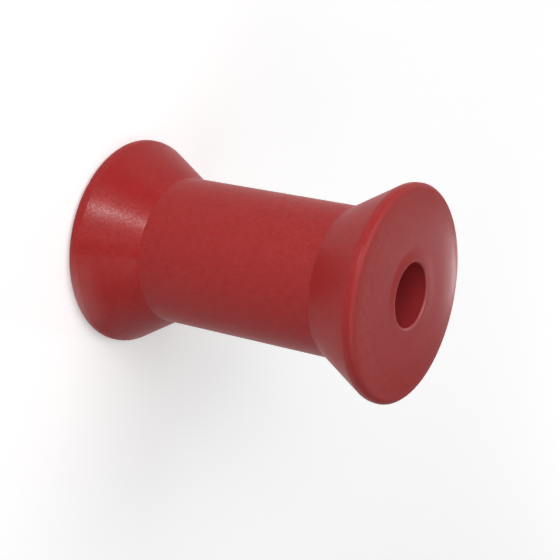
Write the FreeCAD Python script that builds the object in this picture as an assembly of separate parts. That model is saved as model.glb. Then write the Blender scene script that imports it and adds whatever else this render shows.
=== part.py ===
import FreeCAD
import Part
import math
import os

# Boat trailer roller, one moulding in tough red rubber.
# A waisted spool: straight core, a cone up to the rim at each end, and a through bore for the spindle.
# It stands on one end. The bore runs along Z, and the origin is on the bore's axis at mid length.

# Sizes of the spool, in millimetres
rim_diameter = 75.0
rim_span = 115.0
core_diameter = 52.5
core_length = 69.0
bore_diameter = 22.0

# Rim band: nearly straight, drafted so that the mould lets go of it
band_width = 3.8
band_draft = 0.3

# End faces: a flat seat round the bore, a soft step down from it, then a slight fall out to the rim
seat_width = 2.0
step_width = 3.6
step_height = 0.1
face_fall = 1.0
mouth_bevel = 0.6

# Radii of the rounded edges
core_fillet_radius = 0.8
band_corner_radius = 3.0
rim_edge_radius = 1.5
seat_edge_radius = 12.0

# Radii and heights worked out from the sizes
bore_radius = bore_diameter / 2
core_radius = core_diameter / 2
rim_radius = rim_diameter / 2
band_radius = rim_radius - band_draft
seat_radius = bore_radius + seat_width
step_radius = seat_radius + step_width
core_top = core_length / 2
rim_top = rim_span / 2
band_bottom = rim_top - band_width
step_foot = rim_top + face_fall
seat_top = step_foot + step_height


# A point of the section, at a distance from the axis and a height along it
def at(radius, height):
    return FreeCAD.Vector(radius, 0, height)


# Corners of the upper end's section, from the mouth of the bore to the foot of the cone.
# Each has the radius of its rounded edge, which is 0 where the edge is sharp.
def end_corners():
    return [
        (at(bore_radius, seat_top - mouth_bevel), 0),
        (at(bore_radius + mouth_bevel, seat_top), 0),
        (at(seat_radius, seat_top), seat_edge_radius),
        (at(step_radius, step_foot), 0),
        (at(rim_radius, rim_top), rim_edge_radius),
        (at(band_radius, band_bottom), band_corner_radius),
        (at(core_radius, core_top), core_fillet_radius),
    ]


# The arc that rounds a corner and is tangent to both of its sides, as its two ends and its middle
def corner_arc(before, corner, after, edge_radius):
    to_before = (before - corner).normalize()
    to_after = (after - corner).normalize()
    bisector = (to_before + to_after).normalize()
    half_angle = to_before.getAngle(to_after) / 2
    setback = edge_radius / math.tan(half_angle)
    centre = corner + bisector * (edge_radius / math.sin(half_angle))
    return (corner + to_before * setback, centre - bisector * edge_radius, corner + to_after * setback)


# Section of the roller on one side of the axis: the upper end, and the lower one as its mirror image
def section():
    upper = end_corners()
    lower = [(at(point.x, -point.z), edge_radius) for point, edge_radius in reversed(upper)]
    corners = upper + lower
    arcs = []
    for index, (point, edge_radius) in enumerate(corners):
        before = corners[index - 1][0]
        after = corners[(index + 1) % len(corners)][0]
        arcs.append(corner_arc(before, point, after, edge_radius))
    edges = []
    for index, (start, middle, end) in enumerate(arcs):
        last_end = arcs[index - 1][2]
        edges.append(Part.LineSegment(last_end, start).toShape())
        if corners[index][1] > 0:
            edges.append(Part.Arc(start, middle, end).toShape())
    return Part.Face(Part.Wire(edges))


# The whole roller, turned round the bore's axis
def roller():
    middle = FreeCAD.Vector(0, 0, 0)
    axis = FreeCAD.Vector(0, 0, 1)
    return section().revolve(middle, axis, 360)


os.makedirs("parts", exist_ok=True)
roller().exportStep("parts/roller.step")
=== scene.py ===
import math
import bmesh
import bpy
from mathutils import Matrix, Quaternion, Vector

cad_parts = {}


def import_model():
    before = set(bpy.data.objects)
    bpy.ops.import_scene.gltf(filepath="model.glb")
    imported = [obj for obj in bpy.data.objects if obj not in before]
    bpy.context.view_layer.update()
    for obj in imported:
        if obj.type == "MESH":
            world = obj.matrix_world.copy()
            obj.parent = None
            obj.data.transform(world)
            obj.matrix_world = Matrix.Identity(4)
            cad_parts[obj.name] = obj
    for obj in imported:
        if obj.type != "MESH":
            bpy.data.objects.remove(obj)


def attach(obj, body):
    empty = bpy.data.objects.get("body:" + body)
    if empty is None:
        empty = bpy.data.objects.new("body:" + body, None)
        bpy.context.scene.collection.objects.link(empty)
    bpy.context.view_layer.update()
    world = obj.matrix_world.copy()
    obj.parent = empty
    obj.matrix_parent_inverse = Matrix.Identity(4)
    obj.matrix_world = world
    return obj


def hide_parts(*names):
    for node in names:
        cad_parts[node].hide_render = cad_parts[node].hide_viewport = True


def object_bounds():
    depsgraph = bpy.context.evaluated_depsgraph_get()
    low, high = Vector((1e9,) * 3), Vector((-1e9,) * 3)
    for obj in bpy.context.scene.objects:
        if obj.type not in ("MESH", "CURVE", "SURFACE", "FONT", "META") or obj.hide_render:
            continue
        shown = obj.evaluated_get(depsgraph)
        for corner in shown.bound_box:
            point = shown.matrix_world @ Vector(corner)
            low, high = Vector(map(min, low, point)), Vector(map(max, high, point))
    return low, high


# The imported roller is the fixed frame. Its box gives the heights of the upper seat and of the floor.
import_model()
cad_low, cad_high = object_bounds()
seat_top = cad_high.z
floor_height = cad_low.z

MM = 0.001

# Section of the moulding: radii from the axis, and sizes along it
BORE_RADIUS = 11.0 * MM
SEAT_RADIUS = 13.0 * MM
STEP_RADIUS = 16.6 * MM
RIM_RADIUS = 37.5 * MM
BAND_RADIUS = 37.2 * MM
CORE_RADIUS = 26.25 * MM
MOUTH_BEVEL = 0.6 * MM
STEP_HEIGHT = 0.1 * MM
FACE_FALL = 1.0 * MM
BAND_WIDTH = 3.8 * MM
CORE_TOP = 34.5 * MM

# Radii of the rounded edges
MOUTH_ROUND = 0.15 * MM
STEP_ROUND = 12.0 * MM
RIM_ROUND = 2.3 * MM
BAND_ROUND = 3.0 * MM
CORE_ROUND = 0.8 * MM

# Small nicks in the rims: the end's side, the turn from -Y towards -X, depth and half length
NICKS = [
    (-1, math.radians(27.0), 0.35 * MM, 0.9 * MM),
    (1, math.radians(83.0), 0.3 * MM, 1.6 * MM),
]
NICK_HEIGHT = 1.4 * MM

# How finely the section and the turn are divided
TURN_STEPS = 480
LONGEST_STRETCH = 3.0 * MM
ARC_STEP = math.radians(9.0)
FEWEST_ARC_STEPS = 4

# Rubber: its cloudy tint and roughness
CLOUD_SCALE = 420.0
CLOUD_DETAIL = 6.0
CLOUD_ROUGHNESS = 0.65
TINTS = [(0.3, (0.336, 0.0175, 0.0175, 1)), (0.7, (0.390, 0.0215, 0.0210, 1))]
ROUGHNESS = (0.40, 0.50)
SPECULAR_LEVEL = 0.02

# Rubber: the fine grain of its skin
GRAIN_SCALE = 1300.0
GRAIN_DETAIL = 3.0
GRAIN_ROUGHNESS = 0.5
GRAIN_STRENGTH = 0.5
GRAIN_DEPTH = 0.06 * MM

# Rubber: a thin gloss, weaker and stronger with the grain
GRAIN_LIMITS = (0.35, 0.65)
COAT_WEIGHTS = (0.13, 0.32)
COAT_IOR = 1.7
COAT_ROUGHNESS = 0.22

# Where the lower rim is rubbed glossier than the rest: its middle, and how far it fades along each axis
RUBBED_TURN = math.radians(-38.0)
RUBBED_HEIGHT = -55.5 * MM
RUBBED_REACH = (20.0 * MM, 20.0 * MM, 11.0 * MM)
RUBBED_COAT_WEIGHT = 0.95

# Where the face is duller, on the near and upper side of the mouth
DULL_TURN = math.radians(35.0)
DULL_RADII = (14.5 * MM, 17.5 * MM)
DULL_REACH = (22.0 * MM, 22.0 * MM, 5.0 * MM)
DULL_SHARE = 0.95

# The bore's wall has painted shade that makes it a little darker and a painted pale reflection that makes it
# greyer, and the bevel of its mouth has a painted pale highlight
BORE_PAINTED_SHADE_AND_REFLECTION = (0.335, 0.028, 0.030, 1)
MOUTH_PAINTED_HIGHLIGHT = (0.43, 0.085, 0.085, 1)

# The edges of the rims have a painted pale sheen and less gloss, where the height plus a share of the radius
# is large
EDGE_PAINTED_SHEEN = (0.385, 0.047, 0.046, 1)
EDGE_RADIUS_SHARE = 0.4
EDGE_LIMITS = (70.8 * MM, 71.7 * MM)
EDGE_DULLNESS = 0.7

# Surroundings as they are seen: their level at some heights above the horizon, in degrees
SEEN_LEVELS = [(0.0, 0.95), (7.0, 0.95), (13.0, 0.27), (22.0, 0.27), (29.0, 0.8), (40.0, 1.0)]

# Floor: a disc, past which the white horizon shows.
# It has a glow where it is seen. What the roller covers has none, so that the bore is dark inside.
FLOOR_RADIUS = 900.0 * MM
COVERED_RADIUS = 30.0 * MM
FLOOR_STEPS = 96
FLOOR_LEVEL = 0.9
SEEN_FLOOR_LEVEL = 0.94
FLOOR_GLOW = 0.36

# Lamps: azimuth and elevation in degrees, then distance, width and height in metres, then radiance
LAMPS = {
    "key": (24.0, 8.5, 0.28, 0.042, 0.020, 28.0),
    "key_wide": (25.0, 18.0, 1.0, 0.43, 0.17, 2.6),
    "front_wide": (22.0, 21.0, 1.2, 1.37, 0.43, 1.05),
    "high_left": (45.0, 50.0, 1.4, 1.4, 0.875, 3.0),
    "left": (95.0, 22.0, 1.4, 0.875, 0.7, 1.0),
    "left_back": (140.0, 15.0, 1.4, 0.9, 0.45, 1.5),
    "right": (-50.0, 35.0, 1.5, 1.33, 1.0, 1.4),
    "back_high": (180.0, 45.0, 0.9, 0.7, 0.35, 0.7),
    "back_low": (176.5, 12.0, 0.9, 0.08, 0.11, 34.0),
}

# Camera, fitted to the outline in the photograph
CAMERA_DISTANCE = 522.5 * MM
CAMERA_ELEVATION = 31.59
CAMERA_AIM = Vector((3.65 * MM, 0.0, 7.79 * MM))
CAMERA_ROLL = math.radians(101.61)
CAMERA_LENS = 96.0
SENSOR_WIDTH = 36.0


def outward(turn):
    """The way out from the axis, at a turn from -Y towards -X."""
    return Vector((-math.sin(turn), -math.cos(turn), 0))


# Section

def corner_arc(before, corner, after, edge_radius):
    """Points along the arc that rounds a corner, tangent to both of its sides."""
    to_before = (before - corner).normalized()
    to_after = (after - corner).normalized()
    half_angle = to_before.angle(to_after) / 2
    setback = edge_radius / math.tan(half_angle)
    centre = corner + (to_before + to_after).normalized() * (edge_radius / math.sin(half_angle))
    start = corner + to_before * setback - centre
    end = corner + to_after * setback - centre
    turn = start.angle(end)
    steps = max(FEWEST_ARC_STEPS, math.ceil(turn / ARC_STEP))
    points = []
    for step in range(steps + 1):
        share = step / steps
        near = math.sin((1 - share) * turn) / math.sin(turn)
        far = math.sin(share * turn) / math.sin(turn)
        points.append(centre + start * near + end * far)
    return points


def end_corners():
    """Corners of the upper end's section, each with the radius of its rounded edge."""
    step_foot = seat_top - STEP_HEIGHT
    rim_top = step_foot - FACE_FALL
    half_run = (RIM_RADIUS - STEP_RADIUS) / 2
    half_bend = math.atan2(FACE_FALL, half_run) / 2
    crown_round = (half_run - RIM_ROUND) / math.tan(half_bend)
    return [
        (Vector((BORE_RADIUS, seat_top - MOUTH_BEVEL)), MOUTH_ROUND),
        (Vector((BORE_RADIUS + MOUTH_BEVEL, seat_top)), MOUTH_ROUND),
        (Vector((SEAT_RADIUS, seat_top)), STEP_ROUND),
        (Vector((STEP_RADIUS, step_foot)), STEP_ROUND),
        (Vector((STEP_RADIUS + half_run, step_foot)), crown_round),
        (Vector((RIM_RADIUS, rim_top)), RIM_ROUND),
        (Vector((BAND_RADIUS, rim_top - BAND_WIDTH)), BAND_ROUND),
        (Vector((CORE_RADIUS, CORE_TOP)), CORE_ROUND),
    ]


def section_points():
    """The whole closed section, as points no further apart than the longest stretch."""
    upper = end_corners()
    lower = [(Vector((point.x, -point.y)), radius) for point, radius in reversed(upper)]
    corners = upper + lower
    rounded = []
    for index, (point, radius) in enumerate(corners):
        before = corners[index - 1][0]
        after = corners[(index + 1) % len(corners)][0]
        rounded.extend(corner_arc(before, point, after, radius))
    points = []
    for index, point in enumerate(rounded):
        last = rounded[index - 1]
        stretch = (point - last).length
        steps = max(1, math.ceil(stretch / LONGEST_STRETCH))
        for step in range(1, steps + 1):
            points.append(last.lerp(point, step / steps))
    return points


# Moulding

def nicked(place):
    """The same point, or a little nearer to the axis where a nick in a rim takes it."""
    radius = math.hypot(place.x, place.y)
    if radius < CORE_RADIUS:
        return place
    depth = 0.0
    for side, turn, most, half_length in NICKS:
        centre = outward(turn) * RIM_RADIUS
        centre.z = side * (seat_top - STEP_HEIGHT - FACE_FALL)
        away = place - centre
        along = Vector((away.x, away.y, 0)).length / half_length
        depth += most * math.exp(-along ** 2 - (away.z / NICK_HEIGHT) ** 2)
    return Vector((place.x * (1 - depth / radius), place.y * (1 - depth / radius), place.z))


def turned_mesh(name, points):
    """A closed mesh made by turning a closed section round the Z axis."""
    mesh = bmesh.new()
    rings = []
    for point in points:
        ring = []
        for turn_step in range(TURN_STEPS):
            angle = 2 * math.pi * turn_step / TURN_STEPS
            place = Vector((point.x * math.cos(angle), point.x * math.sin(angle), point.y))
            ring.append(mesh.verts.new(nicked(place)))
        rings.append(ring)
    for row, ring in enumerate(rings):
        last_ring = rings[row - 1]
        for turn_step in range(TURN_STEPS):
            following = (turn_step + 1) % TURN_STEPS
            mesh.faces.new((last_ring[turn_step], last_ring[following], ring[following], ring[turn_step]))
    bmesh.ops.recalc_face_normals(mesh, faces=mesh.faces)
    data = bpy.data.meshes.new(name)
    mesh.to_mesh(data)
    mesh.free()
    for polygon in data.polygons:
        polygon.use_smooth = True
    return data


# Nodes that the materials share

def add_node(tree, kind, **settings):
    node = tree.nodes.new(kind)
    for name, value in settings.items():
        setattr(node, name, value)
    return node


def computed(tree, kind, operation, *values):
    """A Math or Vector Math node. Each value is a number, a vector or the output of another node."""
    node = add_node(tree, kind, operation=operation)
    for socket, value in zip(node.inputs, values):
        if isinstance(value, bpy.types.NodeSocket):
            tree.links.new(value, socket)
        else:
            socket.default_value = value
    return node


def number(tree, operation, *values):
    """The result of a Math node."""
    return computed(tree, "ShaderNodeMath", operation, *values).outputs["Value"]


def vector(tree, operation, *values):
    """The result of a Vector Math node that gives a vector."""
    return computed(tree, "ShaderNodeVectorMath", operation, *values).outputs["Vector"]


def length(tree, value):
    """The length of a vector."""
    return computed(tree, "ShaderNodeVectorMath", "LENGTH", value).outputs["Value"]


def height_of(tree, value):
    """The Z part of a vector."""
    parts = add_node(tree, "ShaderNodeSeparateXYZ")
    tree.links.new(value, parts.inputs[0])
    return parts.outputs["Z"]


def mapped(tree, value, limits, results, interpolation="LINEAR"):
    """A value that goes from the first result to the second as another goes from limit to limit."""
    node = add_node(tree, "ShaderNodeMapRange", interpolation_type=interpolation)
    node.inputs["From Min"].default_value = limits[0]
    node.inputs["From Max"].default_value = limits[1]
    node.inputs["To Min"].default_value = results[0]
    node.inputs["To Max"].default_value = results[1]
    tree.links.new(value, node.inputs["Value"])
    return node.outputs["Result"]


def graded(tree, value, stops):
    """A colour that follows a value from 0 to 1 through some stops, each a position and its colour."""
    ramp = add_node(tree, "ShaderNodeValToRGB")
    elements = ramp.color_ramp.elements
    while len(elements) < len(stops):
        elements.new(1.0)
    for element, (position, colour) in zip(elements, stops):
        element.position = position
        element.color = colour
    tree.links.new(value, ramp.inputs["Fac"])
    return ramp.outputs["Color"]


def blended(tree, share, colour, other):
    """A colour, or a fixed other one where the share is 1."""
    node = add_node(tree, "ShaderNodeMix", data_type="RGBA")
    node.inputs["B"].default_value = other
    tree.links.new(share, node.inputs["Factor"])
    tree.links.new(colour, node.inputs["A"])
    return node.outputs["Result"]


def noise(tree, place, scale, detail, roughness):
    node = add_node(tree, "ShaderNodeTexNoise")
    node.inputs["Scale"].default_value = scale
    node.inputs["Detail"].default_value = detail
    node.inputs["Roughness"].default_value = roughness
    tree.links.new(place, node.inputs["Vector"])
    return node.outputs["Fac"]


def fades_from(tree, place, centre, reach):
    """A value that is 1 at a place on the moulding and fades to 0 at a reach from it."""
    offset = vector(tree, "SUBTRACT", place, centre)
    share = vector(tree, "DIVIDE", offset, reach)
    return mapped(tree, length(tree, share), (0.0, 1.0), (1.0, 0.0), "SMOOTHSTEP")


def seen_directly(tree):
    """A value that is 1 for what is seen, also in a reflection or through glass, and 0 for spread light."""
    path = add_node(tree, "ShaderNodeLightPath")
    seen = path.outputs["Is Camera Ray"]
    for ray in ("Is Glossy Ray", "Is Transmission Ray"):
        seen = number(tree, "MAXIMUM", seen, path.outputs[ray])
    return seen


# Rubber

def rim_edge(tree, place, radius):
    """A value that is 1 on the edges of both rims, where a pale sheen is painted and the gloss is lowered.
    """
    height = number(tree, "ABSOLUTE", height_of(tree, place))
    reach = number(tree, "MULTIPLY_ADD", radius, EDGE_RADIUS_SHARE, height)
    return mapped(tree, reach, EDGE_LIMITS, (0.0, 1.0), "SMOOTHSTEP")


def rubber_colour(tree, clouds, radius, edge):
    """The cloudy red, with painted shade and a painted pale reflection in the bore, a painted highlight on
    the bevel of its mouth and a painted sheen on the edges of the rims.
    """
    colour = graded(tree, clouds, TINTS)
    bevel_reach = BORE_RADIUS + MOUTH_BEVEL + MOUTH_ROUND
    bore_reach = BORE_RADIUS + MOUTH_ROUND
    # Painted highlight on the bevel of the mouth, then painted shade and a painted pale reflection on the
    # bore's wall
    for reach, inner_colour in ((bevel_reach, MOUTH_PAINTED_HIGHLIGHT), (bore_reach, BORE_PAINTED_SHADE_AND_REFLECTION)):
        colour = blended(tree, number(tree, "LESS_THAN", radius, reach), colour, inner_colour)
    # A painted pale sheen on the edges of the rims
    return blended(tree, edge, colour, EDGE_PAINTED_SHEEN)


def rubber_gloss(tree, place, grain, radius, edge):
    """The gloss's weight: speckled, strong where a rim is rubbed, weak by the mouth and on the edges."""
    speckled = mapped(tree, grain, GRAIN_LIMITS, COAT_WEIGHTS)
    rubbed_middle = outward(RUBBED_TURN) * RIM_RADIUS + Vector((0, 0, RUBBED_HEIGHT))
    rubbed = fades_from(tree, place, rubbed_middle, RUBBED_REACH)
    full = number(tree, "MULTIPLY_ADD", rubbed, RUBBED_COAT_WEIGHT, speckled)

    ring = mapped(tree, radius, DULL_RADII, (DULL_SHARE, 0.0), "SMOOTHSTEP")
    dull_middle = outward(DULL_TURN) * BORE_RADIUS + Vector((0, 0, seat_top))
    dull = number(tree, "MULTIPLY", fades_from(tree, place, dull_middle, DULL_REACH), ring)
    lost = number(tree, "MULTIPLY_ADD", edge, EDGE_DULLNESS, dull)
    return number(tree, "MULTIPLY", full, number(tree, "SUBTRACT", 1.0, lost))


def red_rubber():
    """Semi-gloss moulded rubber, faintly cloudy, with a fine pebbled skin from the mould."""
    material = bpy.data.materials.new("red_rubber")
    material.use_nodes = True
    tree = material.node_tree
    shader = tree.nodes["Principled BSDF"]
    place = add_node(tree, "ShaderNodeTexCoord").outputs["Object"]
    radius = length(tree, vector(tree, "MULTIPLY", place, (1, 1, 0)))
    clouds = noise(tree, place, CLOUD_SCALE, CLOUD_DETAIL, CLOUD_ROUGHNESS)
    grain = noise(tree, place, GRAIN_SCALE, GRAIN_DETAIL, GRAIN_ROUGHNESS)
    edge = rim_edge(tree, place, radius)
    tree.links.new(rubber_colour(tree, clouds, radius, edge), shader.inputs["Base Color"])
    tree.links.new(mapped(tree, clouds, (0.0, 1.0), ROUGHNESS), shader.inputs["Roughness"])
    tree.links.new(rubber_gloss(tree, place, grain, radius, edge), shader.inputs["Coat Weight"])

    bump = add_node(tree, "ShaderNodeBump")
    bump.inputs["Strength"].default_value = GRAIN_STRENGTH
    bump.inputs["Distance"].default_value = GRAIN_DEPTH
    tree.links.new(grain, bump.inputs["Height"])
    tree.links.new(bump.outputs["Normal"], shader.inputs["Normal"])
    tree.links.new(bump.outputs["Normal"], shader.inputs["Coat Normal"])

    shader.inputs["Specular IOR Level"].default_value = SPECULAR_LEVEL
    shader.inputs["Coat IOR"].default_value = COAT_IOR
    shader.inputs["Coat Roughness"].default_value = COAT_ROUGHNESS
    return material


# Floor

def grey(level):
    return (level, level, level, 1)


def pale_floor(name, glow_level):
    """Pale matt floor. With a glow it is seen nearly white, and it keeps the roller's shadow."""
    material = bpy.data.materials.new(name)
    material.use_nodes = True
    tree = material.node_tree
    tree.nodes.clear()
    output = add_node(tree, "ShaderNodeOutputMaterial")
    lit = add_node(tree, "ShaderNodeBsdfDiffuse")
    lit.inputs["Color"].default_value = grey(FLOOR_LEVEL)
    seen_lit = add_node(tree, "ShaderNodeBsdfDiffuse")
    seen_lit.inputs["Color"].default_value = grey(SEEN_FLOOR_LEVEL)
    glow = add_node(tree, "ShaderNodeEmission")
    glow.inputs["Strength"].default_value = glow_level
    seen = add_node(tree, "ShaderNodeAddShader")
    tree.links.new(seen_lit.outputs[0], seen.inputs[0])
    tree.links.new(glow.outputs[0], seen.inputs[1])
    choice = add_node(tree, "ShaderNodeMixShader")
    tree.links.new(seen_directly(tree), choice.inputs["Fac"])
    tree.links.new(lit.outputs[0], choice.inputs[1])
    tree.links.new(seen.outputs[0], choice.inputs[2])
    tree.links.new(choice.outputs[0], output.inputs["Surface"])
    return material


def floor():
    """The disc under the roller. Its covered middle has the first material, the rest the second."""
    mesh = bmesh.new()
    rings = []
    for radius in (COVERED_RADIUS, FLOOR_RADIUS):
        ring = []
        for step in range(FLOOR_STEPS):
            ring.append(mesh.verts.new(outward(-2 * math.pi * step / FLOOR_STEPS) * radius))
        rings.append(ring)
    covered, rim = rings
    mesh.faces.new(covered)
    for step in range(FLOOR_STEPS):
        following = (step + 1) % FLOOR_STEPS
        face = mesh.faces.new((covered[step], rim[step], rim[following], covered[following]))
        face.material_index = 1
    data = bpy.data.meshes.new("floor")
    mesh.to_mesh(data)
    mesh.free()
    data.materials.append(pale_floor("covered_floor", 0.0))
    data.materials.append(pale_floor("pale_floor", FLOOR_GLOW))
    disc = bpy.data.objects.new("floor", data)
    disc.location.z = floor_height
    bpy.context.scene.collection.objects.link(disc)


# Surroundings, lamps and camera

def world():
    """Surroundings that are only seen, not lit by: white at the horizon and overhead, dim between."""
    sky = bpy.data.worlds.new("studio")
    sky.use_nodes = True
    tree = sky.node_tree
    background = tree.nodes["Background"]
    way = add_node(tree, "ShaderNodeTexCoord").outputs["Generated"]
    stops = [(math.sin(math.radians(height)), grey(level)) for height, level in SEEN_LEVELS]
    strength = number(tree, "MULTIPLY", graded(tree, height_of(tree, way), stops), seen_directly(tree))
    tree.links.new(strength, background.inputs["Strength"])
    background.inputs["Color"].default_value = grey(1.0)
    bpy.context.scene.world = sky


def direction(azimuth, elevation):
    """Azimuth 0 is the camera's side, and it turns towards -X, which is up in the photograph."""
    turn = math.radians(azimuth)
    rise = math.radians(elevation)
    return Vector((-math.sin(turn) * math.cos(rise), -math.cos(turn) * math.cos(rise), math.sin(rise)))


def softbox(name, azimuth, elevation, distance, width, height, radiance):
    """A soft panel of light that faces the roller and has an even radiance, as a colour value."""
    data = bpy.data.lights.new(name, "AREA")
    data.shape = "RECTANGLE"
    data.size = width
    data.size_y = height
    data.energy = radiance * math.pi * width * height
    lamp = bpy.data.objects.new(name, data)
    lamp.location = direction(azimuth, elevation) * distance
    lamp.rotation_mode = "QUATERNION"
    lamp.rotation_quaternion = lamp.location.to_track_quat("Z", "Y")
    lamp.visible_camera = False
    bpy.context.scene.collection.objects.link(lamp)


def camera():
    """The camera at the photograph's viewing angle, rolled so that the roller lies as it does there."""
    data = bpy.data.cameras.new("camera")
    data.lens = CAMERA_LENS
    data.sensor_width = SENSOR_WIDTH
    eye = bpy.data.objects.new("camera", data)
    eye.location = direction(0.0, CAMERA_ELEVATION) * CAMERA_DISTANCE
    level = (eye.location - CAMERA_AIM).to_track_quat("Z", "Y")
    eye.rotation_mode = "QUATERNION"
    eye.rotation_quaternion = level @ Quaternion((0, 0, 1), CAMERA_ROLL)
    bpy.context.scene.collection.objects.link(eye)
    bpy.context.scene.camera = eye


# Build

body = bpy.data.objects.new("roller_moulding", turned_mesh("roller_moulding", section_points()))
body.data.materials.append(red_rubber())
bpy.context.scene.collection.objects.link(body)
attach(body, "root")
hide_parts("roller")

floor()
for lamp_name, lamp_values in LAMPS.items():
    softbox(lamp_name, *lamp_values)
world()
camera()
bpy.context.scene.view_settings.view_transform = "Standard"
